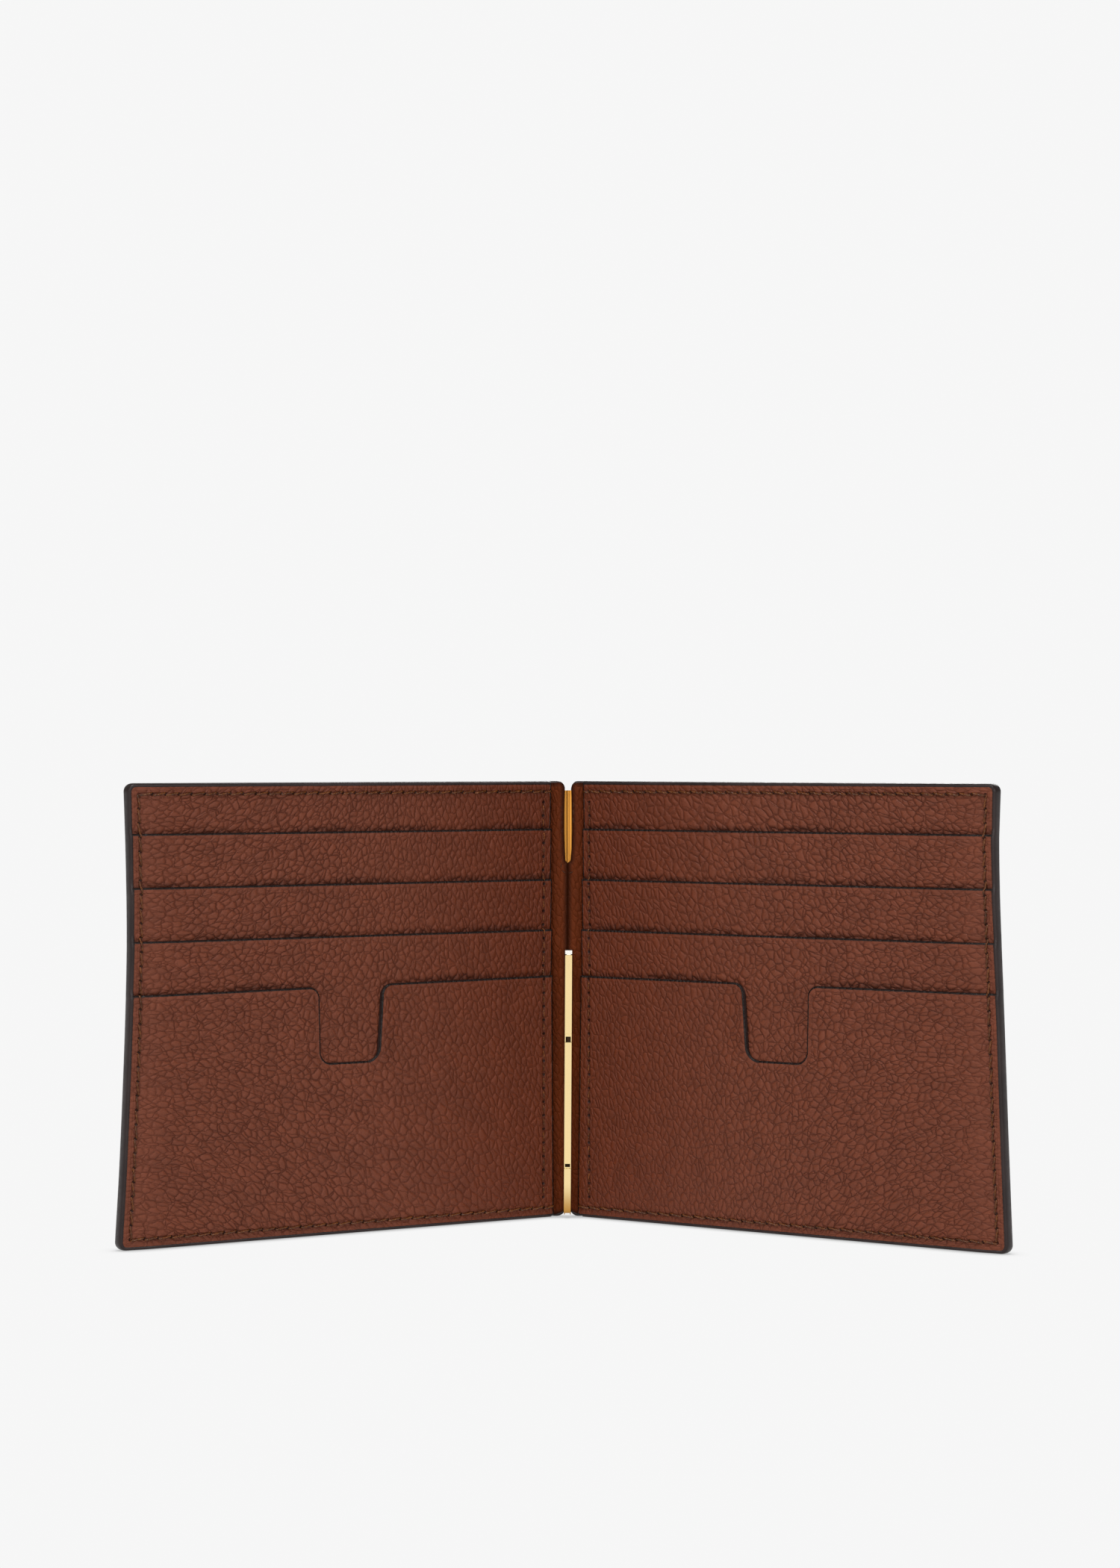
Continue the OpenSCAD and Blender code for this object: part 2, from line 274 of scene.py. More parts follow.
def rim_distance(u, z, edges):
    """Distance of every point from the nearest boundary edge, up to 4 mm."""
    best = np.full(u.shape, 4.0)
    points = np.stack([u, z], 1)
    for a, b in edges:
        start = points[a]
        near = (np.abs(u - start[0]) < 5) & (np.abs(z - start[1]) < 5)
        if near.any():
            gap, _ = line_distance(points[near], start, points[b] - start)
            best[near] = np.minimum(best[near], gap)
    return best


def seam_lines(side):
    """The stitch rows of a panel: start, end, and whether the inside only has them."""
    inner = float(stack_start(side, WALLET_H / 2))
    low, high = STITCH_INSET, WALLET_H - STITCH_INSET
    out = PANEL_L - STITCH_INSET
    return [
        ((inner - 0.7, high), (out, high), False),
        ((out, low), (out, high), False),
        ((inner - 0.7, low), (out, low), False),
        ((inner + STITCH_INSET, 2 * STITCH_INSET), (inner + STITCH_INSET, WALLET_H - 2 * STITCH_INSET), True),
    ]


def seam_count(a, b):
    return int(round(math.dist(a, b) / STITCH_PITCH))


def seam_attributes(side, u, z, outside):
    """Distance from the nearest stitch row, and the place along it counted in stitches."""
    best = np.full(u.shape, 9.0)
    phase = np.zeros(u.shape)
    for a, b, inside_only in seam_lines(side):
        if outside and inside_only:
            continue
        gap, t = line_distance(np.stack([u, z], -1), a, np.subtract(b, a))
        here = gap < best
        best = np.where(here, gap, best)
        phase = np.where(here, t * seam_count(a, b), phase)
    return best, phase


def grain_point(side, u, z, seed):
    """Where a point lies in the leather's pattern, in cells: tall by the spine and rounder outside."""
    narrow, wide = 0.98, 2.0
    rate = (wide - narrow) / PANEL_L
    along = np.log(np.clip(narrow + rate * u, 0.5, None) / (narrow - rate * FOLD_X)) / rate
    tall = 1.85 - 0.75 * smooth((u - 20) / 70)
    lean = SIDES[side] * 0.2 * (z - GRAIN_MIDDLE) * (1 - smooth(u / 60))
    gx = SIDES[side] * (along + lean + 3.1 * seed)
    gz = (z - GRAIN_MIDDLE) / tall + 5.7 * seed
    # The pattern's own rows run diagonally, which gives the diamond cells of stretched leather.
    return np.stack([(gx - gz) * math.sqrt(0.5), (gx + gz) * math.sqrt(0.5), np.full_like(u, 1.7 * seed)], -1)


def add_object(name, data):
    obj = bpy.data.objects.new(name, data)
    bpy.context.scene.collection.objects.link(obj)
    return obj





def new_mesh(name, points, faces, mirrored, materials, kinds=None):
    faces = np.asarray(faces)
    if mirrored:
        faces = faces[:, ::-1]
    mesh = bpy.data.meshes.new(name)
    mesh.from_pydata(points.tolist(), [], faces.tolist())
    for material in materials:
        mesh.materials.append(material)
    if kinds is not None:
        mesh.polygons.foreach_set("material_index", np.asarray(kinds, np.int32))
    mesh.polygons.foreach_set("use_smooth", np.ones(len(mesh.polygons), bool))
    mesh.update()
    return add_object(name, mesh)


def drop_unused(points, quads, *extras):
    used = np.unique(quads)
    remap = np.full(len(points), -1)
    remap[used] = np.arange(len(used))
    return points[used], remap[quads], [e[used] for e in extras]


def strip_quads(rows, columns):
    """Quads of a closed tube whose rings follow each other."""
    index = np.arange(rows * columns).reshape(rows, columns)
    after = np.roll(index, -1, 1)
    return np.stack([index[:-1], after[:-1], after[1:], index[1:]], -1).reshape(-1, 4)


def split_at_centre(mesh, centre):
    """Keeps the shading of the two halves of the spine apart from the faces where they meet."""
    ends = np.empty(2 * len(mesh.edges), np.int32)
    mesh.edges.foreach_get("vertices", ends)
    sharp = centre[ends.reshape(-1, 2)].all(1)
    if sharp.any():
        mesh.attributes.new("sharp_edge", "BOOLEAN", "EDGE").data.foreach_set("value", sharp)


def measured_relief(obj):
    """Runs the grain pattern on the mesh and returns its height, 0 in a crease and 1 on a plateau."""
    obj.modifiers.new("relief", "NODES").node_group = relief_group()
    evaluated = obj.evaluated_get(bpy.context.evaluated_depsgraph_get())
    mesh = evaluated.to_mesh()
    values = np.zeros(len(mesh.vertices), np.float32)
    mesh.attributes["relief"].data.foreach_get("value", values)
    evaluated.to_mesh_clear()
    obj.modifiers.clear()
    return values


def rim_push(u, z, edges):
    """Unit directions that point out of the sheet at the ends of its boundary edges."""
    push = np.zeros((len(u), 2))
    for a, b in edges:
        run = np.array([u[b] - u[a], z[b] - z[a]])
        out = np.array([run[1], -run[0]]) / max(np.hypot(*run), 1e-9)
        push[a] += out
        push[b] += out
    return push / np.maximum(np.hypot(*push.T), 1e-9)[:, None]


def rim_quads(edges, ring, count):
    """Two rows of quads from the front's rim over the vertices between to the back's rim."""
    between = {int(v): 2 * count + i for i, v in enumerate(ring)}
    quads = []
    for a, b in edges:
        mid_a, mid_b = between[int(a)], between[int(b)]
        quads += [(b, a, mid_a, mid_b), (mid_b, mid_a, a + count, b + count)]
    return np.array(quads)


def sheet(name, side, grid, front, back, seed, materials, outside=False, bends=False, seam=True,
          relief=RELIEF, round_rim=EDGE_ROUND, soft=None):
    """A closed leather sheet with a rounded rim; its grain is on the front, or on the back when outside."""
    edges = rim_loop(grid.quads)
    u, z = grid.u, grid.z
    count = len(u)
    sign = -1 if outside else 1
    centre = np.abs(u + FOLD_X) < 1e-6
    gap = rim_distance(u, z, [e for e in edges if not centre[e].all()])
    seam_gap, phase = seam_attributes(side, u, z, outside) if seam else (np.full_like(u, 9.0), u * 0)
    crumple = soft(u, z) if soft else np.zeros_like(u)
    sunk = sign * (rounding(round_rim - gap, round_rim) + 0.09 * np.exp(-((seam_gap / 0.4) ** 2)))
    depths = (front, back - sunk) if outside else (front - sunk, back)
    # Rim vertices halfway through the sheet, so that its edge is full instead of sharp.
    ring = np.unique(edges)
    push = 0.05 * rim_push(u, z, edges)[ring]
    mid_u = np.where(centre[ring], u[ring], u[ring] + push[:, 0])
    all_d = np.concatenate([*depths, (depths[0][ring] + depths[1][ring]) / 2])
    flat = np.stack([np.concatenate([u, u, mid_u]), np.concatenate([z, z, z[ring] + push[:, 1]]), all_d], -1)
    rim = rim_quads(edges, ring, count)
    faces = np.concatenate([grid.quads, grid.quads[:, ::-1] + count, rim])
    kinds = np.repeat([0, 0, 1], [len(grid.quads), len(grid.quads), len(rim)])
    if len(materials) > 2:
        hidden = 0 if outside else len(grid.quads)
        kinds[hidden:hidden + len(grid.quads)] = 2
    looks = grain_point(side, u, z, seed), np.stack([gap, seam_gap, phase], -1), np.stack([crumple, u, z], -1)
    looks = [np.concatenate([a, a, a[ring]]) for a in looks]
    raised = np.repeat([not outside, outside, False], [count, count, len(ring)])
    flat, faces, (grain, detail, zone, raised) = drop_unused(flat, faces, *looks, raised)
    obj = new_mesh(name, place(side, *flat.T, bends), faces, SIDES[side] < 0, materials, kinds)
    split_at_centre(obj.data, np.abs(flat[:, 0] + FOLD_X) < 1e-6)
    for key, values in (("grain", grain), ("detail", detail), ("zone", zone)):
        attribute = obj.data.attributes.new(key, "FLOAT_VECTOR", "POINT")
        attribute.data.foreach_set("vector", np.ascontiguousarray(values, np.float32).ravel())
    if relief:
        height = measured_relief(obj)
        free = smooth((detail[:, 0] - 0.1) / 0.9) * (1 - 0.6 * np.exp(-((detail[:, 1] / 0.7) ** 2)))
        lift = raised * free * (relief * (height - 0.6) + 0.34 * zone[:, 0] * (height - 0.75))
        flat[:, 2] += sign * lift
        obj.data.vertices.foreach_set("co", place(side, *flat.T, bends).astype(np.float32).ravel())
        obj.data.update()
    return obj


# ---- node helpers

def node(tree, kind, inputs=None, **settings):
    made = tree.nodes.new(kind)
    for key, value in settings.items():
        setattr(made, key, value)
    for key, value in (inputs or {}).items():
        if isinstance(value, bpy.types.NodeSocket):
            tree.links.new(value, made.inputs[key])
        else:
            made.inputs[key].default_value = value
    return made


def calc(tree, operation, *values, clamp=False):
    inputs = dict(enumerate(values))
    return node(tree, "ShaderNodeMath", inputs, operation=operation, use_clamp=clamp).outputs[0]


def times(tree, a, b):
    return calc(tree, "MULTIPLY", a, b)


def plus(tree, a, b):
    return calc(tree, "ADD", a, b)


def minus(tree, a, b):
    return calc(tree, "SUBTRACT", a, b)


def ramp(tree, value, low, high, to_low=0.0, to_high=1.0):
    return node(tree, "ShaderNodeMapRange", {0: value, 1: low, 2: high, 3: to_low, 4: to_high},
                interpolation_type="SMOOTHSTEP").outputs[0]


def fade(tree, value, at_0, at_1):
    return ramp(tree, value, 0.0, 1.0, at_0, at_1)


def noise(tree, vector, scale, detail=2.0, rough=0.5, output=0):
    inputs = {"Vector": vector, "Scale": scale, "Detail": detail, "Roughness": rough}
    return node(tree, "ShaderNodeTexNoise", inputs).outputs[output]


def vector_calc(tree, operation, *values):
    inputs = dict(enumerate(values))
    if operation == "SCALE":
        inputs["Scale"] = inputs.pop(1)
    return node(tree, "ShaderNodeVectorMath", inputs, operation=operation).outputs[0]


def crack_edges(tree, vector, scale, width, randomness):
    """0 in the creases between the cells and 1 on them."""
    cells = node(tree, "ShaderNodeTexVoronoi", {"Vector": vector, "Scale": scale, "Randomness": randomness},
                 feature="DISTANCE_TO_EDGE", voronoi_dimensions="2D").outputs["Distance"]
    return cells, ramp(tree, cells, 0.0, width)


def shifted(tree, point, scale, detail, amount):
    """The point moved about by a noise."""
    wander = noise(tree, point, scale, detail, 0.5, 1)
    shift = vector_calc(tree, "SCALE", vector_calc(tree, "SUBTRACT", wander, (0.5, 0.5, 0.5)), amount)
    return vector_calc(tree, "ADD", point, shift)


def grain_pattern(tree, point):
    """Leather grain: returns the cells' edge distance, the dome, and the main, long and fine creases."""
    warped = shifted(tree, shifted(tree, point, 0.5, 2.0, 1.0), 2.2, 1.0, 0.24)
    cells, crease = crack_edges(tree, warped, 0.98, 0.15, 0.85)
    rise = ramp(tree, cells, 0.0, 0.40)
    dome = times(tree, rise, minus(tree, 2.0, rise))
    _, fine = crack_edges(tree, warped, 2.3, 0.12, 1.0)
    turned = node(tree, "ShaderNodeVectorRotate", {"Vector": warped, "Angle": math.radians(-45)},
                  rotation_type="Z_AXIS").outputs[0]
    flow = vector_calc(tree, "MULTIPLY", turned, (0.36, 0.62, 1.0))
    _, long = crack_edges(tree, flow, 1.0, 0.04, 0.9)
    return cells, dome, crease, long, fine


def relief_group():
    """Geometry nodes that store the grain's height on the mesh, as the materials see it."""
    if "relief" in bpy.data.node_groups:
        return bpy.data.node_groups["relief"]
    tree = bpy.data.node_groups.new("relief", "GeometryNodeTree")
    tree.interface.new_socket("Geometry", in_out="INPUT", socket_type="NodeSocketGeometry")
    tree.interface.new_socket("Geometry", in_out="OUTPUT", socket_type="NodeSocketGeometry")
    start = tree.nodes.new("NodeGroupInput")
    end = tree.nodes.new("NodeGroupOutput")
    grain = node(tree, "GeometryNodeInputNamedAttribute", {"Name": "grain"}, data_type="FLOAT_VECTOR")
    _, dome, crease, long, fine = grain_pattern(tree, grain.outputs[0])
    height = times(tree, dome, 0.55)
    for part, share in ((crease, 0.08), (long, 0.12), (fine, 0.08)):
        height = plus(tree, height, times(tree, part, share))
    store = node(tree, "GeometryNodeStoreNamedAttribute", {"Name": "relief", "Value": height})
    tree.links.new(start.outputs[0], store.inputs["Geometry"])
    tree.links.new(store.outputs[0], end.inputs[0])
    return tree


def new_material(name):
    material = bpy.data.materials.new(name)
    material.use_nodes = True
    tree = material.node_tree
    return material, tree, tree.nodes["Principled BSDF"]


def surface(tree, shader, colour, rough, height, distance, strength=1.0, shine=0.5):
    """Links a material's colour and roughness, and a fine relief as deep as distance, in metres."""
    shader.inputs["Specular IOR Level"].default_value = shine
    bumped = node(tree, "ShaderNodeBump", {"Strength": strength, "Distance": distance, "Height": height})
    tree.links.new(colour, shader.inputs["Base Color"])
    tree.links.new(rough, shader.inputs["Roughness"])
    tree.links.new(bumped.outputs[0], shader.inputs["Normal"])


def attribute(tree, name):
    return node(tree, "ShaderNodeAttribute", attribute_name=name).outputs["Vector"]


def axes(tree, vector):
    return node(tree, "ShaderNodeSeparateXYZ", {0: vector}).outputs


def mix_colour(tree, factor, a, b):
    a, b = (c if isinstance(c, bpy.types.NodeSocket) else (*c, 1.0) for c in (a, b))
    return node(tree, "ShaderNodeMix", {0: factor, 6: a, 7: b}, data_type="RGBA").outputs[2]


def scale_colour(tree, colour, amount):
    return vector_calc(tree, "SCALE", colour, amount)


PAINT_COLOUR = (0.010, 0.006, 0.005)
# Painted shade by the spine: the leather's colour there is multiplied by this tint.
SPINE_SHADE_TINT = (0.76, 0.59, 0.40)
LEATHER_BUMP = 0.00021


def crease_strength(tree, crease, long, fine, faint, across):
    """1 in the darkest creases and 0 on the cells; the long creases grow stronger away from the spine."""
    main = times(tree, minus(tree, 1.0, crease), fade(tree, faint, 0.36, 0.85))
    flow = times(tree, minus(tree, 1.0, long), ramp(tree, across, 4.0, 60.0, 0.3, 0.95))
    small = times(tree, minus(tree, 1.0, fine), fade(tree, faint, 0.40, 0.10))
    return calc(tree, "ADD", calc(tree, "MAXIMUM", main, flow), small, clamp=True)


def creased_colour(tree, base, crease_colour, dark, cells, faint, crumple, across):
    """The leather's colour: darker in the creases, partly as painted shade, with painted shade (darker and
    warmer) by the spine and painted highlights on the cell rims there.
    """
    # Painted shade: the colour gets darker and warmer towards the fold.
    spine_shading_mask = ramp(tree, across, 2.0, 46.0, 1.0, 0.0)
    colour = mix_colour(tree, spine_shading_mask, base, tuple(c * f for c, f in zip(base, SPINE_SHADE_TINT)))
    # The creases are darker in colour: partly the leather's darker grain and partly painted shade; in the
    # gathers above the mouths the painted shade is stronger.
    strength = ramp(tree, across, 12.0, 60.0, 0.50, 0.76)
    strength = calc(tree, "MAXIMUM", strength, ramp(tree, crumple, 0.05, 0.6, 0.0, 1.0))
    colour = mix_colour(tree, times(tree, dark, strength), colour, crease_colour)
    # Painted highlights: the rims round the cells near the spine are lightened.
    rim = times(tree, ramp(tree, cells, 0.04, 0.09), ramp(tree, cells, 0.09, 0.17, 1.0, 0.0))
    rim = times(tree, times(tree, rim, spine_shading_mask), fade(tree, faint, 0.3, 1.0))
    return scale_colour(tree, colour, fade(tree, rim, 1.0, 1.35))


def needle_holes(tree, seam_gap, phase):
    """1 in the needle holes of the stitch rows and 0 away from them."""
    along = times(tree, minus(tree, calc(tree, "FRACT", plus(tree, phase, 0.5)), 0.5), STITCH_PITCH)
    gap = calc(tree, "POWER", plus(tree, times(tree, along, along), times(tree, seam_gap, seam_gap)), 0.5)
    return ramp(tree, gap, 0.16, 0.4, 1.0, 0.0)


def leather_material(name, base, crease_colour, bump=1.0, crease_line=1.05, painted=True, shine=0.18):
    """Pebbled leather with creases, pores, a painted edge, an embossed line and stitch holes."""
    material, tree, shader = new_material(name)
    grain = attribute(tree, "grain")
    cells, dome, crease, long, fine = grain_pattern(tree, grain)
    rim_gap, seam_gap, phase = axes(tree, attribute(tree, "detail"))
    crumple, across, _ = axes(tree, attribute(tree, "zone"))
    patchy = noise(tree, grain, 0.32, 3.0, 0.55)
    faint = ramp(tree, noise(tree, grain, 0.8, 2.0), 0.3, 0.7)
    pores = noise(tree, grain, 14.0, 3.0, 0.65)
    calm = times(tree, ramp(tree, rim_gap, 0.4, 1.5, 0.55, 1.0), ramp(tree, across, 80.0, 92.0, 1.0, 0.75))
    dark = times(tree, crease_strength(tree, crease, long, fine, faint, across), calm)
    colour = creased_colour(tree, base, crease_colour, dark, cells, faint, crumple, across)
    # The needle holes are painted dark as shade, besides dipping in the bump.
    hole = needle_holes(tree, seam_gap, phase)
    # Painted shade along the stitch rows, where the thread draws the leather down.
    seam_shade = ramp(tree, seam_gap, 0.1, 0.55, 1.0, 0.0)
    line = ramp(tree, calc(tree, "ABSOLUTE", minus(tree, rim_gap, crease_line)), 0.0, 0.16, 1.0, 0.0)
    # Painted shadow just above each pocket's mouth, on top of the real dip in the mesh.
    gather_shadow = minus(tree, crumple, times(tree, noise(tree, grain, 3.0), 0.5))
    tone = ramp(tree, patchy, 0.2, 0.8, 0.89, 1.11)
    for shade in (ramp(tree, pores, 0.2, 0.8, 0.93, 1.07), ramp(tree, gather_shadow, 0.0, 0.7, 1.0, 0.66),
                  fade(tree, hole, 1.0, 0.22), fade(tree, seam_shade, 1.0, 0.72),
                  fade(tree, line, 1.0, 0.93)):
        tone = times(tree, tone, shade)
    colour = scale_colour(tree, colour, tone)
    rough = plus(tree, fade(tree, dark, 0.40, 0.85), times(tree, pores, 0.1))
    if painted:
        ragged_gap = plus(tree, rim_gap, times(tree, noise(tree, grain, 5.0), 0.16))
        paint = ramp(tree, ragged_gap, 0.38, 0.48, 1.0, 0.0)
        colour = mix_colour(tree, paint, colour, PAINT_COLOUR)
        rough = minus(tree, rough, times(tree, paint, 0.26))
    else:
        # Painted shade: the lining is darker towards its edges, chiefly in the slit between the lips.
        colour = scale_colour(tree, colour, ramp(tree, rim_gap, 0.05, 1.2, 0.28, 1.0))
    height = plus(tree, times(tree, minus(tree, 1.0, dark), 0.35), times(tree, dome, 0.55))
    height = plus(tree, times(tree, height, calm), times(tree, pores, 0.16))
    height = minus(tree, height, plus(tree, times(tree, hole, 1.2), times(tree, line, 0.22)))
    surface(tree, shader, colour, rough, height, LEATHER_BUMP * bump, shine=shine)
    return material


def object_noise(tree, scale, detail=3.0, stretch=(1, 1, 1)):
    place_node = node(tree, "ShaderNodeTexCoord").outputs["Object"]
    moved = node(tree, "ShaderNodeMapping", {"Vector": place_node, "Scale": stretch}).outputs[0]
    return noise(tree, moved, scale, detail)


def paint_material():
    """Layered edge paint: nearly black, satin, with soft brush ripples."""
    material, tree, shader = new_material("edge_paint")
    ripple = object_noise(tree, 900.0, 3.0)
    broad = object_noise(tree, 120.0, 2.0)
    colour = mix_colour(tree, ramp(tree, broad, 0.3, 0.7), (0.016, 0.0095, 0.0088), (0.025, 0.0155, 0.0145))
    surface(tree, shader, colour, ramp(tree, ripple, 0.2, 0.8, 0.28, 0.42), ripple, 0.00004, 0.6, 0.24)
    return material


def thread_material(name, dark, light, rough):
    """Waxed polyester thread with fine fibres."""
    material, tree, shader = new_material(name)
    fibres = object_noise(tree, 5200.0, 2.0, (1.0, 1.0, 0.35))
    broad = object_noise(tree, 700.0, 2.0)
    mixed = plus(tree, times(tree, fibres, 0.6), times(tree, broad, 0.5))
    colour = mix_colour(tree, ramp(tree, mixed, 0.35, 0.75), dark, light)
    rough = ramp(tree, fibres, 0.2, 0.8, rough - 0.06, rough + 0.1)
    surface(tree, shader, colour, rough, fibres, 0.00003, 0.7, 0.3)
    return material


def metal_material(name, colour, low, high, scratch=0.3, tint=0.04, streaks=0.0, foot=1.0):
    """Plated metal with fine lengthwise polishing marks; it can be streaked, and darkened at its foot as
    painted shade.
    """
    material, tree, shader = new_material(name)
    marks = object_noise(tree, 2600.0, 2.0, (1.0, 1.0, 0.04))
    cloud = object_noise(tree, 90.0, 2.0)
    darker = tuple(c * (1 - tint * 2) for c in colour)
    plain = mix_colour(tree, ramp(tree, cloud, 0.3, 0.7), darker, colour)
    # Dark lengthwise streaks in the colour.
    streak_tone = ramp(tree, object_noise(tree, 8500.0, 1.0, (1.0, 0.2, 0.002)), 0.40, 0.58, 1.0 - streaks, 1.0)
    # Painted shade at the foot: the colour darkens in the lowest few millimetres, where the bar turns under.
    height = axes(tree, node(tree, "ShaderNodeTexCoord").outputs["Object"])[2]
    foot_shade_mix = ramp(tree, height, 0.001, 0.0075, foot, 1.0)
    foot_shaded = mix_colour(tree, foot_shade_mix, tuple(0.5 * c ** 3 for c in colour), plain)
    shader.inputs["Metallic"].default_value = 1.0
    surface(tree, shader, scale_colour(tree, foot_shaded, streak_tone), ramp(tree, marks, 0.25, 0.75, low, high),
            marks, 0.000008, scratch)
    return material


def board_material():
    """Grey-brown stiffening board with pressed fibres."""
    material, tree, shader = new_material("stiffening_board")
    fibres = object_noise(tree, 1500.0, 4.0, (0.3, 1.0, 1.0))
    colour = mix_colour(tree, ramp(tree, fibres, 0.3, 0.7), (0.10, 0.066, 0.042), (0.19, 0.14, 0.10))
    surface(tree, shader, colour, ramp(tree, fibres, 0.2, 0.8, 0.75, 0.95), fibres, 0.00003, 0.5)
    return material


# ---- materials

INSIDE = leather_material("pocket_leather", (0.142, 0.0370, 0.0172), (0.036, 0.0062, 0.0022))
OUTSIDE = leather_material("cover_leather", (0.138, 0.0358, 0.0166), (0.034, 0.0058, 0.0020), crease_line=1.3)
LIPS = leather_material("lining_leather", (0.128, 0.0325, 0.0112), (0.036, 0.006, 0.0015), bump=0.8,
                        crease_line=3.2, painted=False, shine=0.05)
PAINT = paint_material()
THREAD = thread_material("waxed_thread", (0.036, 0.010, 0.002), (0.145, 0.041, 0.006), 0.28)
INNER_THREAD = thread_material("inner_thread", (0.040, 0.011, 0.002), (0.20, 0.055, 0.008), 0.3)
SPINE_THREAD = thread_material("spine_thread", (0.022, 0.006, 0.0015), (0.06, 0.017, 0.004), 0.6)
GOLD = metal_material("pale_gold", (1.0, 0.765, 0.385), 0.10, 0.14, scratch=0.05, tint=0.01, foot=0.1)
# The cap's gold is painted nearly white: a painted highlight on the arm's gold.
HIGHLIT_CAP_GOLD = metal_material("highlit_tip_gold", (1.0, 0.96, 0.88), 0.16, 0.2, scratch=0.05, tint=0.0)
# The rail's gold is the arm's gold painted darker and oranger: painted shade and brown reflections from the
# lips around it.
SHADED_RAIL_GOLD = metal_material("shaded_rail_gold", (0.57, 0.25, 0.045), 0.30, 0.42, scratch=0.1, streaks=0.75)
SHADOW_GOLD = metal_material("shadowed_gold", (0.05, 0.016, 0.003), 0.6, 0.8, scratch=0.1)
STEEL = metal_material("spring_steel", (0.55, 0.55, 0.56), 0.25, 0.4)
# The leaf spring's steel is painted nearly black: painted shade inside the arm's windows.
SHADED_STEEL = metal_material("shaded_spring_steel", (0.045, 0.028, 0.015), 0.5, 0.7)
BOARD = board_material()


# ---- camera, floor, lights

BACKDROP = (0.9245, 0.9245, 0.9245)
GLOW = 0.22
CAMERA_LENS = 84.05
CAMERA_PLACE = (0.0173, SPINE_Y * MM - 0.740, 0.0941)
CAMERA_DIP = 0.52
CAMERA_YAW = 1.46
LIGHT_AIM = (0, 0, 0.05)

# Name, place, size and power of each light.
LIGHTS = (
    ("top_box", (-0.15, -0.45, 1.1), (0.5, 0.4), 9.0),
    ("front_box", (0.1, -1.4, 0.40), (0.6, 0.5), 5.5),
    ("left_box", (-0.85, -0.75, 0.35), (0.4, 0.4), 2.2),
    ("back_box", (0.3, 1.3, 0.7), (0.7, 0.6), 6.0),
    ("right_box", (0.85, -0.75, 0.35), (0.4, 0.4), 2.6),
)


def add_camera():
    data = bpy.data.cameras.new("camera")
    data.sensor_width = 36.0
    data.sensor_fit = "AUTO"
    data.lens = CAMERA_LENS
    data.clip_start = 0.05
    camera = add_object("camera", data)
    camera.location = CAMERA_PLACE
    camera.rotation_euler = (math.radians(90 - CAMERA_DIP), 0, math.radians(CAMERA_YAW))
    bpy.context.scene.camera = camera


def add_lights():
    for name, location, size, power in LIGHTS:
        data = bpy.data.lights.new(name, "AREA")
        data.shape = "RECTANGLE"
        data.size, data.size_y = size
        data.energy = power
        light = add_object(name, data)
        light.location = location
        aim = np.subtract(LIGHT_AIM, location)
        yaw = math.atan2(aim[1], aim[0]) - math.pi / 2
        pitch = math.atan2(aim[2], math.hypot(aim[0], aim[1])) + math.pi / 2
        light.rotation_euler = (pitch, 0, yaw)
        light.visible_camera = False


def add_world():
    world = bpy.data.worlds.new("studio")
    bpy.context.scene.world = world
    world.use_nodes = True
    tree = world.node_tree
    sky = tree.nodes["Background"]
    sky.inputs["Color"].default_value = (*BACKDROP, 1)
    seen = node(tree, "ShaderNodeLightPath").outputs["Is Camera Ray"]
    tree.links.new(fade(tree, seen, GLOW, 1.0), sky.inputs["Strength"])


def add_floor():
    """A pale glowing floor whose only mark is a painted contact shadow where the wallet touches it."""
    mesh = bpy.data.meshes.new("floor")
    shape = bmesh.new()
    bmesh.ops.create_grid(shape, x_segments=24, y_segments=24, size=6.0)
    shape.to_mesh(mesh)
    shape.free()
    floor = add_object("floor", mesh)
    material, tree, shader = new_material("studio_floor")
    # Painted contact shadow: ambient occlusion within 4 mm dims the floor's glow.
    near = node(tree, "ShaderNodeAmbientOcclusion", {"Distance": 0.004}, samples=8).outputs["AO"]
    strength = ramp(tree, near, 0.25, 1.0, 0.55, 1.0)
    glow = node(tree, "ShaderNodeEmission", {"Color": (*BACKDROP, 1), "Strength": strength})
    tree.links.new(glow.outputs[0], tree.nodes["Material Output"].inputs["Surface"])
    tree.nodes.remove(shader)
    mesh.materials.append(material)


# ---- leather

def slit_half(side, z):
    """Half width of the opening between the lips: a narrow lens over the rail, then a closed slit."""
    lens = np.interp(z, LENS_HEIGHTS, LENS_HALVES)
    return np.where(z < LENS_HEIGHTS[0], SLIT_HALF, lens * LENS_WIDTH[side])


def slit_edge(side, z):
    """Inner limit of the lining, from the spine's middle, with the rounded corners at its ends."""
    low = np.clip((SLIT_FOOT - (z - Z_LOW)) / SLIT_FOOT, 0, 1)
    foot = SLIT_FOOT_WIDTH * (1 - np.sqrt(1 - low ** 2))
    return slit_half(side, z) + rounding(z - (Z_HIGH - SLIT_CORNER), SLIT_CORNER) + foot


def shell_edge(z):
    """Inner limit of the cover where the spine is notched for the rail."""
    high = rounding(z - (Z_HIGH - SLIT_CORNER), SLIT_CORNER)
    return SHELL_GAP + high + rounding(Z_LOW + SLIT_CORNER - z, SLIT_CORNER)


def finish_piece(obj, slot, *replaced):
    if replaced:
        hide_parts(*replaced)


def blend_panel(obj):
    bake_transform(obj)


